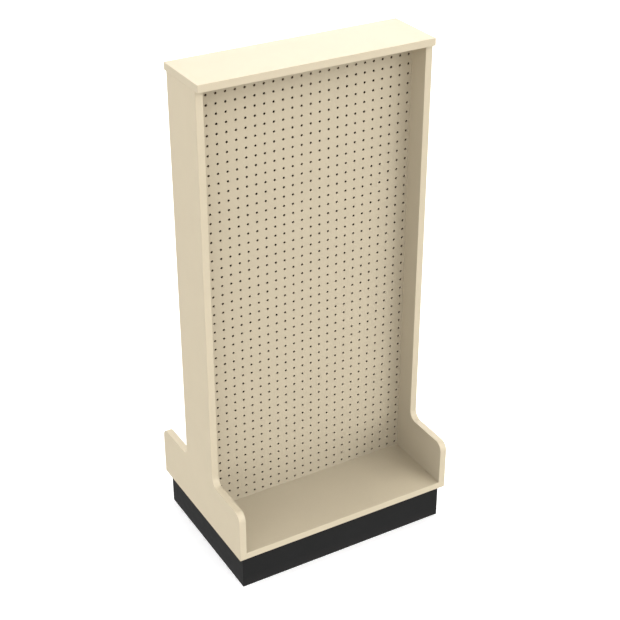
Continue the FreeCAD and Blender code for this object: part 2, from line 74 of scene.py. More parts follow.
class Shader:
    """A material under construction: adds nodes and links them."""

    def __init__(self, name):
        self.material = bpy.data.materials.new(name)
        self.material.use_nodes = True
        self.tree = self.material.node_tree
        self.tree.nodes.clear()
        self.place = self.node("ShaderNodeTexCoord")
        self.output = self.node("ShaderNodeOutputMaterial")

    def node(self, kind, inputs=None, **settings):
        """A node with its settings, and its inputs linked or set."""
        node = self.tree.nodes.new(kind)
        for key, value in settings.items():
            setattr(node, key, value)
        for socket, value in (inputs or {}).items():
            if isinstance(value, bpy.types.NodeSocket):
                self.tree.links.new(value, node.inputs[socket])
            else:
                node.inputs[socket].default_value = value
        return node

    def stretched(self, scale):
        """Object coordinates, scaled by axis."""
        inputs = {"Vector": self.place.outputs["Object"], "Scale": scale}
        return self.node("ShaderNodeMapping", inputs).outputs["Vector"]

    def noise(self, scale, detail=2.0, roughness=0.5, stretch=(1, 1, 1)):
        """Noise from 0 to 1. scale is in cycles a metre."""
        inputs = {
            "Vector": self.stretched(stretch),
            "Scale": scale,
            "Detail": detail,
            "Roughness": roughness,
        }
        return self.node("ShaderNodeTexNoise", inputs).outputs["Fac"]

    def cells(self, scale, stretch):
        """A random colour for each Voronoi cell. scale is in cells a metre."""
        inputs = {"Vector": self.stretched(stretch), "Scale": scale}
        return self.node("ShaderNodeTexVoronoi", inputs).outputs["Color"]

    def ramp(self, value, stops):
        """Colours at places along a value."""
        node = self.node("ShaderNodeValToRGB", {"Fac": value})
        elements = node.color_ramp.elements
        while len(elements) < len(stops):
            elements.new(0.5)
        for element, (position, color) in zip(elements, stops):
            element.position = position
            element.color = (*color, 1)
        return node.outputs["Color"]

    def to_range(self, value, low, high, source=(0.0, 1.0)):
        """A value from one range in another, clamped."""
        inputs = {
            "Value": value,
            "From Min": source[0],
            "From Max": source[1],
            "To Min": low,
            "To Max": high,
        }
        return self.node("ShaderNodeMapRange", inputs).outputs["Result"]

    def math(self, operation, a, b=0.0):
        """A sum or other operation on two values."""
        return self.node("ShaderNodeMath", {0: a, 1: b}, operation=operation).outputs["Value"]

    def mix(self, amount, a, b):
        """Colour a towards colour b."""
        node = self.node("ShaderNodeMix", {"Factor": amount}, data_type="RGBA")
        for socket, value in ((node.inputs[6], a), (node.inputs[7], b)):
            if isinstance(value, bpy.types.NodeSocket):
                self.tree.links.new(value, socket)
            else:
                socket.default_value = (*value, 1)
        return node.outputs[2]

    def bump(self, height, depth, below=None):
        """A surface pattern that stands depth metres high."""
        inputs = {"Height": height, "Distance": depth}
        if below is not None:
            inputs["Normal"] = below
        return self.node("ShaderNodeBump", inputs).outputs["Normal"]

    def axis(self, name):
        """One coordinate of a place."""
        node = self.node("ShaderNodeSeparateXYZ", {"Vector": self.place.outputs["Object"]})
        return node.outputs[name]

    def surface(self, **inputs):
        """Ends the material with a Principled shader. specular_ior_level is its Specular IOR Level."""
        sockets = {}
        for key, value in inputs.items():
            sockets[key.replace("_", " ").title().replace("Ior", "IOR")] = value
        shader = self.node("ShaderNodeBsdfPrincipled", sockets)
        self.tree.links.new(shader.outputs["BSDF"], self.output.inputs["Surface"])
        return self.material


def tint(color, factor):
    """A colour made lighter or darker."""
    return tuple(c * factor for c in color)


ALMOND = (0.72, 0.625, 0.455)
CHIP_LIGHT, CHIP_MID, CHIP_DARK = (0.40, 0.27, 0.15), (0.29, 0.18, 0.09), (0.17, 0.10, 0.05)
# The pegboard's almond is the laminate's made darker: painted shade, standing in for the shade that falls
# across the board in the bay
SHADED_PEGBOARD_ALMOND = tint(ALMOND, 0.87)
HARDBOARD_DARK, HARDBOARD_LIGHT = (0.020, 0.014, 0.009), (0.055, 0.036, 0.022)
BLACK = (0.0185, 0.0185, 0.0185)
FLOOR_DUST = (0.10, 0.09, 0.08)
SPECK_SIZE = 0.0011
FLAKE_SIZE, CHIP_DUST_SIZE = 0.0017, 0.0006
FLAKE_SHARE = 0.6  # of the chipboard's pattern, and the rest is its dust
PAINT_ENDS = (0.0010, 0.0026)  # depths in a hole where the paint starts to thin, and is gone
PAINT_WANDER = 0.0005
DUSTY_HEIGHT = 0.03
PINE_LIGHT, PINE_DARK, PINE_FIBRE = (0.62, 0.43, 0.25), (0.50, 0.31, 0.155), (0.33, 0.18, 0.08)
BEECH_DARK, BEECH_LIGHT = (0.50, 0.31, 0.17), (0.66, 0.45, 0.28)
ZINC_BLUE, ZINC_WARM = (0.52, 0.53, 0.55), (0.66, 0.66, 0.64)
NYLON_DARK, NYLON_LIGHT = (0.014, 0.014, 0.014), (0.024, 0.024, 0.025)
GRAIN = 0.06  # how much slower wood changes along its grain than across it
FLOOR_DARK, FLOOR_LIGHT = (0.93, 0.93, 0.93), (0.95, 0.95, 0.95)


def mottled(shader, color, spread, patch):
    """A colour that varies a little over patches, with faint printed specks."""
    soft = shader.noise(1 / patch, detail=4, roughness=0.55)
    base = shader.ramp(soft, [(0.3, tint(color, 1 - spread)), (0.7, tint(color, 1 + spread))])
    specks = shader.to_range(shader.noise(1 / SPECK_SIZE, detail=1), 0, 0.35, source=(0.66, 0.78))
    return shader.mix(specks, base, tint(color, 0.86))


def chipboard_color(shader):
    """Flakes of wood, with finer dust between them."""
    cells = shader.cells(1 / FLAKE_SIZE, stretch=(1, 1, 0.6))
    flakes = shader.node("ShaderNodeSeparateColor", {"Color": cells}).outputs["Red"]
    dust = shader.noise(1 / CHIP_DUST_SIZE, detail=3, roughness=0.7)
    flakes = shader.math("MULTIPLY", flakes, FLAKE_SHARE)
    dust = shader.math("MULTIPLY", dust, 1 - FLAKE_SHARE)
    pattern = shader.math("ADD", flakes, dust)
    return shader.ramp(pattern, [(0.2, CHIP_DARK), (0.5, CHIP_MID), (0.8, CHIP_LIGHT)])


def pebbled(shader, cell, depth):
    """The fine pebble that laminate is pressed with."""
    return shader.bump(shader.noise(1 / cell, detail=3, roughness=0.6), depth)


def almond_laminate():
    shader = Shader("almond_laminate")
    face = mottled(shader, ALMOND, spread=0.012, patch=0.09)
    roughness = shader.to_range(shader.noise(1 / 0.02, detail=3), 0.40, 0.50)
    return shader.surface(
        base_color=face,
        roughness=roughness,
        normal=pebbled(shader, 0.0009, 0.00003),
        specular_ior_level=0.2,
    )


def almond_edge_band():
    shader = Shader("almond_edge_band")
    soft = shader.noise(1 / 0.05, detail=3)
    color = shader.ramp(soft, [(0.3, ALMOND), (0.7, tint(ALMOND, 1.02))])
    roughness = shader.to_range(shader.noise(1 / 0.008, detail=3), 0.34, 0.44)
    return shader.surface(
        base_color=color,
        roughness=roughness,
        normal=pebbled(shader, 0.0016, 0.00002),
        specular_ior_level=0.3,
    )


def pegboard_paint():
    """Paint on hardboard. It thins out inside the holes, where the board is bare."""
    shader = Shader("pegboard_paint")
    # its almond is darkened by painted shade
    paint = mottled(shader, SHADED_PEGBOARD_ALMOND, spread=0.015, patch=0.06)
    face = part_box("rear_pegboard")[1].y
    depth = shader.math("SUBTRACT", face, shader.math("ABSOLUTE", shader.axis("Y")))
    wander = shader.to_range(shader.noise(1 / 0.002, detail=2), -PAINT_WANDER, PAINT_WANDER)
    thin = shader.to_range(shader.math("ADD", depth, wander), 0, 1, source=PAINT_ENDS)
    color = shader.mix(thin, paint, HARDBOARD_LIGHT)
    roughness = shader.to_range(shader.noise(1 / 0.015, detail=3), 0.48, 0.60)
    orange_peel = shader.bump(shader.noise(1 / 0.0025, detail=2), 0.00004)
    fibres = shader.noise(1 / 0.0007, detail=3, stretch=(1, 1, 0.4))
    return shader.surface(
        base_color=color,
        roughness=roughness,
        normal=shader.bump(fibres, 0.000015, below=orange_peel),
        specular_ior_level=0.2,
    )


def bare_chipboard():
    shader = Shader("bare_chipboard")
    chips = pebbled(shader, 0.002, 0.0002)
    return shader.surface(base_color=chipboard_color(shader), roughness=0.9, normal=chips)


def bare_hardboard():
    shader = Shader("bare_hardboard")
    fibres = shader.noise(1 / 0.0008, detail=5, roughness=0.65)
    color = shader.ramp(fibres, [(0.3, HARDBOARD_DARK), (0.7, HARDBOARD_LIGHT)])
    return shader.surface(base_color=color, roughness=0.85, normal=shader.bump(fibres, 0.0001))


def black_laminate():
    shader = Shader("black_laminate")
    face = mottled(shader, BLACK, spread=0.04, patch=0.07)
    near_floor = shader.to_range(shader.axis("Z"), 1, 0, source=(0.0, DUSTY_HEIGHT))
    dust = shader.math("MULTIPLY", near_floor, shader.noise(1 / 0.03, detail=4))
    face = shader.mix(shader.math("MULTIPLY", dust, 0.12), face, FLOOR_DUST)
    roughness = shader.to_range(shader.noise(1 / 0.02, detail=4), 0.46, 0.60)
    return shader.surface(
        base_color=face,
        roughness=roughness,
        normal=pebbled(shader, 0.001, 0.00004),
        specular_ior_level=0.12,
    )


def pine(axis):
    """Planed pine with its grain along an axis."""
    shader = Shader(f"pine_along_{axis.lower()}")
    along = [GRAIN if name == axis else 1 for name in "XYZ"]
    wander = shader.noise(1 / 0.05, detail=2, stretch=along)
    rings = shader.node(
        "ShaderNodeTexWave",
        {
            "Vector": shader.stretched(along),
            "Scale": 22.0,
            "Distortion": shader.to_range(wander, 3.0, 9.0),
            "Detail": 2.0,
        },
        wave_type="RINGS",
        rings_direction=axis,
    ).outputs["Fac"]
    wood = shader.ramp(rings, [(0.1, PINE_LIGHT), (0.9, PINE_DARK)])
    fibres = shader.noise(1 / 0.0008, detail=3, stretch=along)
    color = shader.mix(shader.to_range(fibres, 0.0, 0.35, source=(0.4, 0.8)), wood, PINE_FIBRE)
    roughness = shader.to_range(fibres, 0.5, 0.7)
    return shader.surface(base_color=color, roughness=roughness, normal=shader.bump(fibres, 0.00008))


def beech():
    shader = Shader("beech")
    flecks = shader.noise(1 / 0.0012, detail=4, stretch=(0.3, 1, 1))
    color = shader.ramp(flecks, [(0.35, BEECH_DARK), (0.7, BEECH_LIGHT)])
    roughness = shader.to_range(flecks, 0.5, 0.65)
    return shader.surface(base_color=color, roughness=roughness, normal=shader.bump(flecks, 0.00005))


def zinc_plate():
    shader = Shader("zinc_plate")
    cloudy = shader.noise(1 / 0.004, detail=4, roughness=0.6)
    color = shader.ramp(cloudy, [(0.3, ZINC_BLUE), (0.7, ZINC_WARM)])
    roughness = shader.to_range(cloudy, 0.26, 0.42)
    scratches = shader.noise(1 / 0.0006, detail=2, stretch=(0.15, 1, 1))
    return shader.surface(
        base_color=color, roughness=roughness, metallic=1.0, normal=shader.bump(scratches, 0.00001)
    )


def black_nylon():
    shader = Shader("black_nylon")
    grain = shader.noise(1 / 0.0006, detail=3)
    color = shader.ramp(grain, [(0.3, NYLON_DARK), (0.7, NYLON_LIGHT)])
    roughness = shader.to_range(grain, 0.42, 0.58)
    return shader.surface(base_color=color, roughness=roughness, normal=shader.bump(grain, 0.00003))


MATERIALS = {
    "almond_laminate": almond_laminate(),
    "almond_edge_band": almond_edge_band(),
    "almond_hardboard": pegboard_paint(),
    "black_laminate": black_laminate(),
    "beech_dowel": beech(),
    "zinc_plated_steel": zinc_plate(),
    "black_nylon": black_nylon(),
}
BARE_HARDBOARD = bare_hardboard()
BARE_CHIPBOARD = bare_chipboard()
PINE = {axis: pine(axis) for axis in "XYZ"}


# Mesh tools


class Mesh:
    """Points and faces under construction. Each face has the number of its material."""

    def __init__(self):
        self.points, self.faces, self.looks = [], [], []

    def add(self, points):
        """New points, and their numbers."""
        start = len(self.points)
        self.points += [tuple(p) for p in points]
        return list(range(start, len(self.points)))

    def face(self, numbers, look=0):
        """A face between numbered points, with the number of its material."""
        self.faces.append(tuple(numbers))
        self.looks.append(look)

    def loft(self, rings, look=0, round_again=True):
        """Joins rings of equal length with four-sided faces."""
        for low, high in zip(rings, rings[1:]):
            count = len(low)
            for i in range(count if round_again else count - 1):
                j = (i + 1) % count
                self.face((low[i], low[j], high[j], high[i]), look)

    def join(self, other):
        """Takes in another mesh's points and faces."""
        moved = self.add(other.points)
        for numbers, look in zip(other.faces, other.looks):
            self.face([moved[n] for n in numbers], look)

    def solid(self, rings):
        """A closed tube of rings with flat ends."""
        self.loft(rings)
        self.face(rings[0][::-1])
        self.face(rings[-1])

    def copies(self, matrices):
        """The same mesh at several places."""
        result = Mesh()
        for matrix in matrices:
            moved = result.add(matrix @ Vector(p) for p in self.points)
            for numbers, look in zip(self.faces, self.looks):
                result.face([moved[n] for n in numbers], look)
        return result


def make_piece(name, mesh, body, slot, nodes, materials=None, crease=40.0, weighted=True):
    """The Blender object of a mesh, riding on its body in place of its CAD nodes."""
    data = bpy.data.meshes.new(name)
    data.from_pydata(mesh.points, [], mesh.faces)
    builder = bmesh.new()
    builder.from_mesh(data)
    bmesh.ops.remove_doubles(builder, verts=builder.verts, dist=1e-7)
    builder.to_mesh(data)
    builder.free()
    if len(data.polygons) != len(mesh.looks):
        raise ValueError(f"{name} has faces with no area")
    data.polygons.foreach_set("material_index", mesh.looks)
    piece = bpy.data.objects.new(name, data)
    bpy.context.scene.collection.objects.link(piece)
    for material in materials or [MATERIALS[slot]]:
        data.materials.append(material)
    face_out(data)
    data.shade_smooth()
    data.set_sharp_from_angle(angle=math.radians(crease))
    if weighted:
        modifier = piece.modifiers.new("flat_faces_stay_flat", "WEIGHTED_NORMAL")
        modifier.keep_sharp = True
    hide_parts(*nodes)
    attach(piece, body)
    return piece


def face_out(data):
    """Turns a closed mesh's faces outwards."""
    builder = bmesh.new()
    builder.from_mesh(data)
    bmesh.ops.recalc_face_normals(builder, faces=builder.faces)
    builder.to_mesh(data)
    builder.free()


def arc(centre, radius, start, end, steps):
    """Points with their directions from the centre, from start to end in degrees."""
    points = []
    for i in range(steps + 1):
        angle = math.radians(start + (end - start) * i / steps)
        a, b = math.cos(angle), math.sin(angle)
        points.append(((centre[0] + radius * a, centre[1] + radius * b), (a, b)))
    return points


# Edge banding

BAND = 0.001  # thickness
BAND_ROUND = 0.0006  # radius that its arrises are trimmed to
BAND_SEAM = 0.00012  # scraped line where it meets the board's face
BAND_FOLD = 0.0002  # inner radius where it turns a corner of the cap
CORNER_STEPS = 3


def band_section(low, high):
    """The banding's section between a board's two faces: (place across it, height above its core)."""
    top = BAND - BAND_ROUND
    left = [p for p, _ in arc((low + BAND_ROUND, top), BAND_ROUND, 180, 90, CORNER_STEPS)]
    right = [p for p, _ in arc((high - BAND_ROUND, top), BAND_ROUND, 90, 0, CORNER_STEPS)]
    start = [(low + BAND_SEAM, 0.0), (low, BAND_SEAM)]
    end = [(high, BAND_SEAM), (high - BAND_SEAM, 0.0)]
    return [*start, *left, *right, *end]


# Sizes

STAND_HIGH = CAD_BOX[1]
OUTER_X = STAND_HIGH.x
INNER_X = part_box("base_deck")[1].x
DECK_LOW, DECK_TOP = (corner.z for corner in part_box("base_deck"))
CAP_LOW, CAP_TOP = (corner.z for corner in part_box("top_cap"))
HALF_BASE = STAND_HIGH.y
HALF_UPPER = 3 * INCH  # half the depth of the end panels' upper part
HALF_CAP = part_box("cap_edge_bands")[1].y
WING_TOP = 9.75 * INCH
WING_RADIUS = 1 * INCH
WING_STEPS = 20  # round a wing's quarter circle
HALF_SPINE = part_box("rear_pegboard")[1].y
GROOVE_DEPTH = 0.125 * INCH


# End panels and their banding


def panel_edge(face):
    """The core of an end panel's front or rear edge, from its bottom up: (y, z) and the way out."""
    base, upper = HALF_BASE - BAND, HALF_UPPER - BAND
    crest = WING_TOP - BAND
    outer, inner = WING_RADIUS - BAND, WING_RADIUS + BAND
    shoulder = arc((base - outer, crest - outer), outer, 0, 90, WING_STEPS)
    hollow = arc((upper + inner, crest + inner), inner, 270, 180, WING_STEPS)
    hollow = [(point, (-y, -z)) for point, (y, z) in hollow]
    edge = [((base, DECK_LOW), (1, 0)), *shoulder, *hollow, ((upper, CAP_LOW), (1, 0))]
    return [((face * y, z), (face * out_y, out_z)) for (y, z), (out_y, out_z) in edge]


def end_panel(name, side):
    """The T-shaped board, with the groove that takes the spine. Its underside is bare chipboard."""
    outer_x, inner_x, groove_x = side * OUTER_X, side * INNER_X, side * (INNER_X + GROOVE_DEPTH)
    front = [point for point, _ in panel_edge(-1)]
    rear = [point for point, _ in panel_edge(1)][::-1]
    notch = [
        (-HALF_SPINE, CAP_LOW),
        (-HALF_SPINE, DECK_TOP),
        (HALF_SPINE, DECK_TOP),
        (HALF_SPINE, CAP_LOW),
    ]
    mesh = Mesh()
    outer = mesh.add((outer_x, y, z) for y, z in front + rear)
    inner = mesh.add((inner_x, y, z) for y, z in front + rear)
    mouth = mesh.add((inner_x, y, z) for y, z in notch)
    floor = mesh.add((groove_x, y, z) for y, z in notch)
    top = len(front)
    mesh.face(outer)
    mesh.face(inner[:top] + mouth + inner[top:])
    mesh.face(floor)
    mesh.loft([mouth, floor], round_again=False)
    for i in range(len(outer) - 1):
        if i != top - 1:
            mesh.face((outer[i], outer[i + 1], inner[i + 1], inner[i]))
    rear_rim = [outer[top], inner[top], mouth[3], floor[3]]
    front_rim = [floor[0], mouth[0], inner[top - 1], outer[top - 1]]
    mesh.face(rear_rim + front_rim)
    mesh.face((outer[0], inner[0], inner[-1], outer[-1]), look=1)
    materials = [MATERIALS["almond_laminate"], BARE_CHIPBOARD]
    nodes = [f"{name}_end_panel"]
    make_piece(f"{name}_panel_board", mesh, "stand", "almond_laminate", nodes, materials)


def panel_banding(name, side):
    """The strips on an end panel's front and rear edges."""
    mesh = Mesh()
    section = band_section(*sorted((side * OUTER_X, side * INNER_X)))
    for face in FACES.values():
        rings = []
        for (y, z), (out_y, out_z) in panel_edge(face):
            rings.append(mesh.add((x, y + out_y * h, z + out_z * h) for x, h in section))
        mesh.solid(rings)
    nodes = [f"{name}_panel_edge_bands"]
    make_piece(f"{name}_panel_banding", mesh, "stand", "almond_edge_band", nodes)


def cap_banding():
    """One strip round the cap, trimmed round at its corners."""
    mesh = Mesh()
    section = band_section(CAP_LOW, CAP_TOP)
    x, y = OUTER_X - BAND - BAND_FOLD, HALF_CAP - BAND - BAND_FOLD
    rings = []
    for k, (sx, sy) in enumerate(((1, 1), (-1, 1), (-1, -1), (1, -1))):
        for _, (out_x, out_y) in arc((0, 0), 0, 90 * k, 90 * k + 90, 6):
            ring = []
            for z, height in section:
                reach = BAND_FOLD + height
                ring.append((sx * x + out_x * reach, sy * y + out_y * reach, z))
            rings.append(mesh.add(ring))
    mesh.loft(rings + rings[:1])
    make_piece("cap_banding", mesh, "stand", "almond_edge_band", ["cap_edge_bands"])


def deck_banding():
    """The strips on the deck's front and rear edges, between the end panels."""
    mesh = Mesh()
    section = band_section(DECK_LOW, DECK_TOP)
    for face in FACES.values():
        rings = []
        for x in (-INNER_X, INNER_X):
            rings.append(mesh.add((x, face * (HALF_BASE - BAND + h), z) for z, h in section))
        mesh.solid(rings)
    make_piece("deck_banding", mesh, "stand", "almond_edge_band", ["deck_edge_bands"])


# Pegboards

PEG_PITCH = INCH
PEG_RADIUS = 0.125 * INCH
PEG_RIM = 0.0003  # softened edge of a hole, under the paint
PEG_STEPS = 24  # round a hole, in four equal parts


def pegboard(face_name):
    """A sheet with round holes, painted on the side that shows. Its back and ends are bare."""
    low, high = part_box(f"{face_name}_pegboard")
    shown, hidden = (low.y, high.y) if FACES[face_name] < 0 else (high.y, low.y)
    throat = shown + math.copysign(PEG_RIM, hidden - shown)
    columns = round((high.x - low.x) / PEG_PITCH)
    rows = round((high.z - low.z) / PEG_PITCH)
    quarter = PEG_STEPS // 4
    turn = [direction for _, direction in arc((0, 0), 0, 45, 405, PEG_STEPS)][:-1]
    mesh = Mesh()

    def column(i, y):
        """The corners of the cells, up the line before column i."""
        return mesh.add((low.x + i * PEG_PITCH, y, low.z + j * PEG_PITCH) for j in range(rows + 1))

    def ring(i, j, y, radius):
        """A circle round the hole in column i and row j."""
        x, z = low.x + (i + 0.5) * PEG_PITCH, low.z + (j + 0.5) * PEG_PITCH
        return mesh.add((x + radius * a, y, z + radius * b) for a, b in turn)

    def flat(corners, hole, i, j, look):
        """The flat part of a cell, in four faces between its corners and its hole."""
        around = (corners[i + 1][j + 1], corners[i][j + 1], corners[i][j], corners[i + 1][j])
        for k in range(4):
            edge = [hole[(k * quarter + n) % PEG_STEPS] for n in range(quarter + 1)]
            mesh.face([around[k], around[(k + 1) % 4], *reversed(edge)], look)

    near, far = ([column(i, y) for i in range(columns + 1)] for y in (shown, hidden))
    for i in range(columns):
        for j in range(rows):
            rim = ring(i, j, shown, PEG_RADIUS + PEG_RIM)
            start, end = (ring(i, j, y, PEG_RADIUS) for y in (throat, hidden))
            flat(near, rim, i, j, 0)
            mesh.loft([rim, start], 0)
            mesh.loft([start, end], 0)
            flat(far, end, i, j, 1)
    for k in (0, -1):
        mesh.loft([near[k], far[k]], 1, round_again=False)
        mesh.loft([[line[k] for line in side] for side in (near, far)], 1, round_again=False)
    make_piece(
        f"{face_name}_pegboard_sheet",
        mesh,
        "stand",
        "almond_hardboard",
        [f"{face_name}_pegboard"],
        materials=[MATERIALS["almond_hardboard"], BARE_HARDBOARD],
        weighted=False,
    )


# Plinth

KICK_EASE = 0.0004


def kick_board(node, outer, inner):
    """A mitred board with its arrises eased. Its underside is bare chipboard."""
    low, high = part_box(node)
    mesh = Mesh()
    rings = [mesh.add((x, y, z) for x, y in outer + inner) for z in (low.z, high.z)]
    mesh.loft(rings)
    mesh.face(rings[0], look=1)
    mesh.face(rings[1])
    materials = [MATERIALS["black_laminate"], BARE_CHIPBOARD]
    piece = make_piece(f"{node}_eased", mesh, "stand", "black_laminate", [node], materials)
    ease_edges(piece, KICK_EASE)


def ease_edges(piece, width):
    """Rounds a piece's sharp edges."""
    modifier = piece.modifiers.new("eased_edges", "BEVEL")
    modifier.width = width
    modifier.segments = 2
    modifier.limit_method = "ANGLE"
    modifier.angle_limit = math.radians(30)
    piece.modifiers.move(len(piece.modifiers) - 1, 0)


def plinth():
    """Four boards, mitred at the corners."""
    low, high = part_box("right_kick_board")
    x, y = high.x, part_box("rear_kick_board")[1].y
    inner_x, inner_y = low.x, y - (high.x - low.x)
    for name, f in FACES.items():
        outer = [(s * x, f * y) for s in (-1, 1)]
        inner = [(s * inner_x, f * inner_y) for s in (1, -1)]
        kick_board(f"{name}_kick_board", outer, inner)
    for name, s in SIDES.items():
        outer = [(s * x, f * y) for f in (-1, 1)]
        inner = [(s * inner_x, f * inner_y) for f in (1, -1)]
        kick_board(f"{name}_kick_board", outer, inner)


# Screws

WOOD_SCREW_HEAD, WOOD_SCREW_SHANK = 0.0042, 0.0021  # radii
WOOD_SCREW_RIM = 0.0002  # straight part of the head's side
WOOD_SCREW_POINT = 0.004
WOOD_SCREW_CROSS = 0.0023  # how far the cross reaches from the axis
PAN_SCREW_HEAD, PAN_SCREW_SHANK = 0.0034, 0.00175  # radii
PAN_SCREW_TOP = -0.0018
PAN_SCREW_LENGTH, PAN_SCREW_POINT = 0.0127, 0.002
PAN_SCREW_CROSS = 0.0016
CROSS_ARM = 0.22  # half the width of an arm, as a part of the cross's reach
CROSS_TAPER = ((-1.0, 1.5), (0.0, 1.0), (0.9, 0.35))  # (depth, size) as parts of its reach
SPINE_SCREWS_X = (-0.200, -0.075, 0.075, 0.200)
DECK_SCREWS_X = (0.060, 0.190)
KICK_SCREWS_X = (0.030, 0.125, 0.220)
HALF_CLEAT = 0.375 * INCH  # half its thickness, and a quarter of its height
FIRST_TURN, NEXT_TURN = 0.7, 1.9  # where screws happen to stop, in radians


def turned(profile, steps=32):
    """A solid turned from (radius, height) points. It starts and ends on the axis."""
    mesh = Mesh()
    start, end = mesh.add((0, 0, height) for _, height in (profile[0], profile[-1]))
    turn = [direction for _, direction in arc((0, 0), 0, 0, 360, steps)][:-1]
    rings = [mesh.add((r * a, r * b, h) for a, b in turn) for r, h in profile[1:-1]]
    mesh.loft(rings)
    for i in range(steps):
        j = (i + 1) % steps
        mesh.face((start, rings[0][j], rings[0][i]))
        mesh.face((end, rings[-1][i], rings[-1][j]))
    return mesh


def cut(mesh, tool):
    """A mesh with another cut out of it."""
    solids = []
    for part in (mesh, tool):
        data = bpy.data.meshes.new("solid")
        data.from_pydata(part.points, [], part.faces)
        face_out(data)
        solids.append(bpy.data.objects.new("solid", data))
        bpy.context.scene.collection.objects.link(solids[-1])
    modifier = solids[0].modifiers.new("cut", "BOOLEAN")
    modifier.object = solids[1]
    depsgraph = bpy.context.evaluated_depsgraph_get()
    data = bpy.data.meshes.new_from_object(solids[0].evaluated_get(depsgraph))
    result = Mesh()
    result.add(vertex.co for vertex in data.vertices)
    for polygon in data.polygons:
        result.face(polygon.vertices)
    for solid in solids:
        bpy.data.objects.remove(solid)
    return result


def recessed(screw, top, reach):
    """A screw with a cross recess in its head, whose height is top. It is driven along +Z."""
    half = reach * CROSS_ARM
    cross = [(reach, -half), (reach, half), (half, half), (half, reach), (-half, reach), (-half, half)]
    cross += [(-x, -y) for x, y in cross]
    tool = Mesh()
    rings = []
    for depth, size in CROSS_TAPER:
        rings.append(tool.add((x * size, y * size, top + reach * depth) for x, y in cross))
    tool.solid(rings)
    return cut(screw, tool)


def wood_screw(length):
    """A countersunk screw, its head's top at height 0."""
    head, shank = WOOD_SCREW_HEAD, WOOD_SCREW_SHANK
    profile = [(0, 0), (head, 0), (head, WOOD_SCREW_RIM), (shank, head - shank)]
    profile += [(shank, length - WOOD_SCREW_POINT), (0, length)]
    return recessed(turned(profile), 0.0, WOOD_SCREW_CROSS)


def pan_screw():
    """A pan-head screw, the underside of its head at height 0."""
    profile = [(0, PAN_SCREW_TOP)]
    for _, (across, up) in arc((0, 0), 0, 75, 0, 5):
        profile.append((PAN_SCREW_HEAD * math.sqrt(across), PAN_SCREW_TOP * up))
    profile += [(PAN_SCREW_SHANK, 0), (PAN_SCREW_SHANK, PAN_SCREW_LENGTH - PAN_SCREW_POINT)]
    profile += [(0, PAN_SCREW_LENGTH)]
    return recessed(turned(profile), PAN_SCREW_TOP, PAN_SCREW_CROSS)


def driven(place, axis, turn):
    """Where a screw goes: at a place, along an axis, stopped at an angle."""
    direction = Vector(axis).to_track_quat("Z", "Y").to_matrix().to_4x4()
    return Matrix.Translation(place) @ direction @ Matrix.Rotation(turn, 4, "Z")


def screw_node(node, screw, seats):
    """The screws of one node, each stopped at its own angle."""
    matrices = []
    for k, (place, axis) in enumerate(seats):
        matrices.append(driven(place, axis, FIRST_TURN + NEXT_TURN * k))
    copies = screw.copies(matrices)
    make_piece(f"{node}_cross_head", copies, "stand", "zinc_plated_steel", [node], crease=30)


def screws():
    """The screws into the spine, the deck and the kick boards."""
    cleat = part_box("rear_left_cleat")[0]
    up = (0, 0, 1)
    spine = [((x, 0, DECK_LOW), up) for x in SPINE_SCREWS_X]
    to_deck, to_kick = [], []
    for s, f in CORNERS.values():
        to_deck += [((s * x, f * (cleat.y + HALF_CLEAT), cleat.z), up) for x in DECK_SCREWS_X]
        level = cleat.z + 2 * HALF_CLEAT
        to_kick += [((s * x, f * cleat.y, level), (0, f, 0)) for x in KICK_SCREWS_X]
    screw_node("spine_screws", wood_screw(1.5 * INCH), spine)
    screw_node("cleat_to_deck_screws", wood_screw(2 * INCH), to_deck)
    screw_node("cleat_to_kick_screws", wood_screw(1.25 * INCH), to_kick)


# Corner braces

BRACE_SHEET = 0.002
BRACE_BEND = 0.0025  # outer radius of the bend
BRACE_EASE = 0.00025
BRACE_HOLE = 0.6  # how far along a leg its screw is


def brace_section(leg):
    """An angle's section: (distance from the wall, distance below the cap)."""
    bend, sheet = BRACE_BEND, BRACE_SHEET
    outside = [p for p, _ in arc((bend, bend), bend, 270, 180, 5)]
    inside = [p for p, _ in arc((bend, bend), bend - sheet, 180, 270, 5)]
    return [(leg, 0), *outside, (0, leg), (sheet, leg), *inside, (leg, sheet)]


def braces():
    """Bent steel angles under the cap, each with two screws."""
    seats = []
    for corner, (s, _) in CORNERS.items():
        node = f"{corner}_cap_brace"
        low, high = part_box(node)
        leg, wall, ceiling = high.z - low.z, s * INNER_X, high.z
        section = brace_section(leg)
        mesh = Mesh()
        rings = []
        for y in (low.y, high.y):
            rings.append(mesh.add((wall - s * a, y, ceiling - b) for a, b in section))
        mesh.solid(rings)
        piece = make_piece(f"{node}_bent", mesh, "stand", "zinc_plated_steel", [node])
        ease_edges(piece, BRACE_EASE)
        middle, reach = (low.y + high.y) / 2, leg * BRACE_HOLE
        seats.append(((wall - s * reach, middle, ceiling - BRACE_SHEET), (0, 0, 1)))
        seats.append(((wall - s * BRACE_SHEET, middle, ceiling - reach), (s, 0, 0)))
    screw_node("cap_brace_screws", pan_screw(), seats)


# Levelling feet. Heights are above the bottom of the pad, apart from the nut's.

THREAD_RADIUS = 0.15625 * INCH
THREAD_PITCH = INCH / 18
THREAD_DEPTH = 0.00075
THREAD_STEPS = 24  # to a turn
THREAD_TURNS = 31  # pitches in the threaded length
FOOT_SPAN, CREST_SPAN = (0.02, 0.98), (0.44, 0.56)  # of the thread's ridge, as parts of a pitch
RIDGE_SUNK = 0.00005  # how far its foot goes into the stem's core
RIDGE_START = 0.1  # its height at its two ends, as a part of the full height
STEM_TIP = 0.0006  # chamfer at its top
BALL_RADIUS, BALL_HEIGHT = 0.0045, 0.006
NECK_RADIUS = 0.003
HEX_LOW, HEX_HIGH = 0.011, 0.015
HEX_HALF = 0.25 * INCH  # from its axis to a flat
HEX_CHAMFER = 0.0004

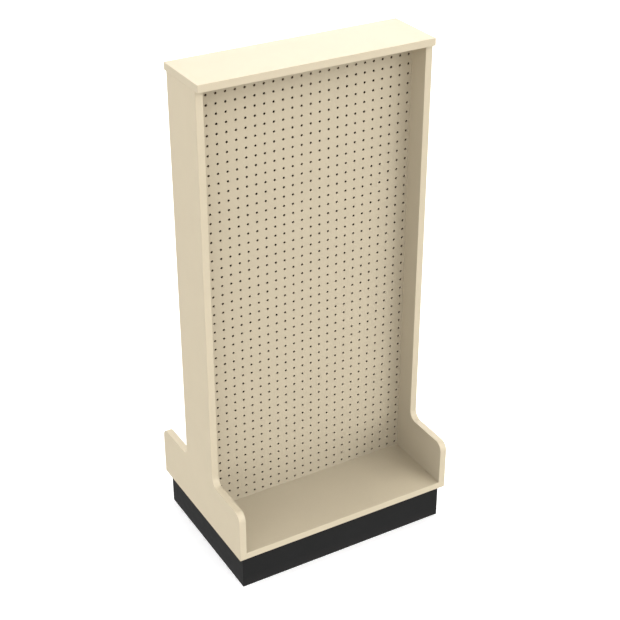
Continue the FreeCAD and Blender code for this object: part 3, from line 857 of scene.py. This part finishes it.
PAD_RADIUS, PAD_HEIGHT = 0.015, 0.0085
PAD_HOLLOW = 0.0008  # depth of the hollow underneath
HOLLOW_CEILING, HOLLOW_MOUTH = 0.0115, 0.0125  # its radii
PAD_ROUND = 0.0008
PAD_RIM, PAD_RIM_ROUND = 0.0022, 0.0012  # height and radius of the rim's upper round
PAD_NECK = 0.0088  # radius at which the sloping top ends
PAD_SLOPE = 42  # degrees between the slope's normal and the floor
PAD_LIP = 0.0003
SOCKET_RADIUS = 0.00465

NUT_FLANGE, NUT_BARREL = 0.0095, 0.0052  # radii
NUT_BORE = THREAD_RADIUS + 0.00008
NUT_LEAD_IN = 0.0016
NUT_SHEET, NUT_LENGTH = 0.0015, 0.012
NUT_EASE = 0.0003


def stem_mesh():
    """A foot's stem: ball, neck, hexagon and a right-hand thread."""
    profile = [p for p, _ in arc((0, BALL_HEIGHT), BALL_RADIUS, -90, 48, 12)]
    mesh = turned([*profile, (NECK_RADIUS, HEX_LOW), (0, HEX_LOW)])
    top, root = HEX_HIGH + THREAD_TURNS * THREAD_PITCH, THREAD_RADIUS - THREAD_DEPTH
    tip = [(root, top - STEM_TIP), (root - STEM_TIP, top), (0, top)]
    mesh.join(turned([(0, HEX_HIGH), (root, HEX_HIGH), *tip]))
    mesh.join(hexagon_mesh())
    mesh.join(thread_mesh(root))
    return mesh


def hexagon_mesh():
    """The hexagon that a spanner turns."""
    corner = HEX_HALF / math.cos(math.radians(30))
    levels = (
        (HEX_LOW, HEX_HALF),
        (HEX_LOW + HEX_CHAMFER, corner),
        (HEX_HIGH - HEX_CHAMFER, corner),
        (HEX_HIGH, HEX_HALF),
    )
    mesh = Mesh()
    rings = []
    for height, radius in levels:
        turn = [direction for _, direction in arc((0, 0), 0, 0, 360, 6)][:-1]
        rings.append(mesh.add((radius * a, radius * b, height) for a, b in turn))
    mesh.solid(rings)
    return mesh


def thread_mesh(root):
    """A ridge wound round the stem's core, fading out over its first and last turns."""
    foot = root - RIDGE_SUNK
    last = (THREAD_TURNS - 1) * THREAD_STEPS
    mesh = Mesh()
    ridge = []
    for k in range(last + 1):
        angle = math.tau * k / THREAD_STEPS
        rise, fall = k / THREAD_STEPS + RIDGE_START, (last - k) / THREAD_STEPS + RIDGE_START
        crest = root + THREAD_DEPTH * min(1.0, rise, fall)
        low_foot, high_foot = ((foot, t) for t in FOOT_SPAN)
        low_crest, high_crest = ((crest, t) for t in CREST_SPAN)
        section = (low_foot, low_crest, high_crest, high_foot)
        low = HEX_HIGH + THREAD_PITCH * k / THREAD_STEPS
        a, b = math.cos(angle), math.sin(angle)
        ridge.append(mesh.add((r * a, r * b, low + THREAD_PITCH * t) for r, t in section))
    mesh.solid(ridge)
    return mesh


def pad_mesh():
    """A foot's pad: hollow underside, rounded rim, sloping top and the socket for the ball."""
    mouth = math.degrees(math.asin((PAD_HEIGHT - PAD_LIP - BALL_HEIGHT) / SOCKET_RADIUS))
    rim_x, neck = PAD_RADIUS - PAD_RIM_ROUND, (PAD_NECK, PAD_HEIGHT - PAD_ROUND)
    profile = [(0, PAD_HOLLOW), (HOLLOW_CEILING, PAD_HOLLOW), (HOLLOW_MOUTH, 0.0)]
    profile += [(PAD_RADIUS - PAD_ROUND, 0.0)]
    profile += [p for p, _ in arc((PAD_RADIUS - PAD_ROUND, PAD_ROUND), PAD_ROUND, -60, 0, 3)]
    profile += [p for p, _ in arc((rim_x, PAD_RIM), PAD_RIM_ROUND, 0, PAD_SLOPE, 4)]
    profile += [p for p, _ in arc(neck, PAD_ROUND, PAD_SLOPE, 90, 4)]
    profile += [(SOCKET_RADIUS * math.cos(math.radians(mouth)) + PAD_LIP, PAD_HEIGHT)]
    profile += [p for p, _ in arc((0, BALL_HEIGHT), SOCKET_RADIUS, mouth, -88, 16)]
    return turned(profile + [(0, BALL_HEIGHT - SOCKET_RADIUS)], 48)


def nut_mesh():
    """A pronged nut, from the underside of its corner block: flange below, barrel above."""
    flange = [(NUT_FLANGE - NUT_EASE, -NUT_SHEET), (NUT_FLANGE, NUT_EASE - NUT_SHEET), (NUT_FLANGE, 0)]
    mouth = [(NUT_BORE, -NUT_SHEET), (NUT_BORE + NUT_LEAD_IN, -NUT_SHEET)]
    profile = [*mouth, *flange, (NUT_BARREL, 0), (NUT_BARREL, NUT_LENGTH), (NUT_BORE, NUT_LENGTH)]
    mesh = Mesh()
    turn = [direction for _, direction in arc((0, 0), 0, 0, 360, 48)][:-1]
    rings = [mesh.add((r * a, r * b, h) for a, b in turn) for r, h in profile]
    mesh.loft(rings + rings[:1])
    return mesh


def feet():
    """Each foot's stem, pad and nut, on the bodies that they move with."""
    stem, pad, nut = stem_mesh(), pad_mesh(), nut_mesh()
    for corner in CORNERS:
        low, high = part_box(f"{corner}_foot_pad")
        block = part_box(f"{corner}_corner_block")[0].z
        centre = (low + high) / 2
        at_pad = Matrix.Translation((centre.x, centre.y, low.z))
        at_block = Matrix.Translation((centre.x, centre.y, block))
        for kind, mesh, place, body, slot in (
            ("stem", stem, at_pad, f"{corner}_foot_stem", "zinc_plated_steel"),
            ("pad", pad, at_pad, f"{corner}_foot_pad", "black_nylon"),
            ("nut", nut, at_block, "stand", "zinc_plated_steel"),
        ):
            node = f"{corner}_foot_{kind}"
            make_piece(f"{node}_detail", mesh.copies([place]), body, slot, [node], crease=35)


def dress_cad_nodes():
    """Gives each CAD node the material of its slot. Pine has its grain along the piece."""
    for part in frame["record"]["subparts"]:
        node, slot = part["node"], part["material_slot"]
        low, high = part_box(node)
        longest = max("xyz", key=lambda axis: getattr(high - low, axis))
        materials = frame["nodes"][node].data.materials
        materials.clear()
        materials.append(PINE[longest.upper()] if slot == "pine" else MATERIALS[slot])


for side_name, side_sign in SIDES.items():
    end_panel(side_name, side_sign)
    panel_banding(side_name, side_sign)
cap_banding()
deck_banding()
for name_of_face in FACES:
    pegboard(name_of_face)
plinth()
screws()
braces()
feet()
dress_cad_nodes()


# Camera, light and floor

VIEW_HEADING = math.radians(30)  # the camera stands to the left of the front
VIEW_FALL = math.radians(30)
VIEW_DISTANCE = 3.5786
VIEW_AIM = Vector((0, -0.034, 0.665))
LENS, SENSOR = 80, 36  # mm
HALF_FLOOR = 150
FLOOR_GLOW = 0.42  # stands in for the light that a white floor throws back


def towards(heading, height):
    """The direction that is turned from the front towards the right, and raised above the floor."""
    level = math.cos(height)
    return Vector((math.sin(heading) * level, -math.cos(heading) * level, math.sin(height)))


def add_camera():
    """The camera, to the left of the front and above the stand."""
    data = bpy.data.cameras.new("camera")
    data.lens = LENS
    data.sensor_width = SENSOR
    camera = bpy.data.objects.new("camera", data)
    camera.location = VIEW_AIM + towards(-VIEW_HEADING, VIEW_FALL) * VIEW_DISTANCE
    camera.rotation_euler = (math.pi / 2 - VIEW_FALL, 0, -VIEW_HEADING)
    bpy.context.scene.collection.objects.link(camera)
    bpy.context.scene.camera = camera


def add_floor():
    """A white floor, out to the horizon."""
    mesh = bpy.data.meshes.new("floor")
    builder = bmesh.new()
    bmesh.ops.create_grid(builder, x_segments=1, y_segments=1, size=HALF_FLOOR)
    builder.to_mesh(mesh)
    builder.free()
    floor = bpy.data.objects.new("floor", mesh)
    bpy.context.scene.collection.objects.link(floor)
    shader = Shader("pale_floor")
    grain = shader.noise(1 / 0.5, detail=2)
    color = shader.ramp(grain, [(0.0, FLOOR_DARK), (1.0, FLOOR_LIGHT)])
    material = shader.surface(
        base_color=color, roughness=0.9, emission_color=(1, 1, 1, 1), emission_strength=FLOOR_GLOW
    )
    mesh.materials.append(material)


# Soft suns round the stand: (degrees from its front towards its right, degrees above the floor, strength).
# The strengths were fitted together by a program, apart from that of the sun 70 degrees up.
SUNS = (
    (0, 45, 0.82),
    (45, 15, 1.21),
    (45, 45, 0.66),
    (135, 15, 1.08),
    (135, 45, 0.73),
    (180, 15, 0.27),
    (180, 70, 1.00),
    (225, 15, 0.89),
    (225, 45, 0.17),
    (270, 15, 0.41),
    (270, 45, 0.34),
    (315, 15, 0.48),
)
SUN_WIDTH = math.radians(45)
# The white band fades out between 13 and 18 degrees above the horizon.
BAND_FADE = (math.sin(math.radians(13)), math.sin(math.radians(18)))
CEILING = 0.02  # its strength, where the band's is 1


def add_suns():
    """Wide suns whose light isn't thrown on by what it lands on, so recesses stay dark."""
    for heading, height, strength in SUNS:
        data = bpy.data.lights.new("soft_sun", "SUN")
        data.energy = strength
        data.angle = SUN_WIDTH
        data.cycles.max_bounces = 0
        data.cycles.use_multiple_importance_sampling = False
        sun = bpy.data.objects.new("soft_sun", data)
        direction = towards(math.radians(heading), math.radians(height))
        sun.rotation_euler = direction.to_track_quat("Z", "Y").to_euler()
        bpy.context.scene.collection.objects.link(sun)


def add_backdrop():
    """A white band behind the stand, up to a low height, under a dim ceiling."""
    world = bpy.data.worlds.new("studio")
    world.use_nodes = True
    tree = world.node_tree
    direction = tree.nodes.new("ShaderNodeTexCoord")
    split = tree.nodes.new("ShaderNodeSeparateXYZ")
    fade = tree.nodes.new("ShaderNodeMapRange")
    for socket, value in zip(("From Min", "From Max", "To Min", "To Max"), (*BAND_FADE, 1.0, CEILING)):
        fade.inputs[socket].default_value = value
    tree.links.new(direction.outputs["Generated"], split.inputs["Vector"])
    tree.links.new(split.outputs["Z"], fade.inputs["Value"])
    tree.nodes["Background"].inputs["Color"].default_value = (1, 1, 1, 1)
    tree.links.new(fade.outputs["Result"], tree.nodes["Background"].inputs["Strength"])
    world.cycles.max_bounces = 0
    bpy.context.scene.world = world


add_camera()
add_floor()
add_suns()
add_backdrop()
bpy.context.scene.view_settings.view_transform = "Standard"
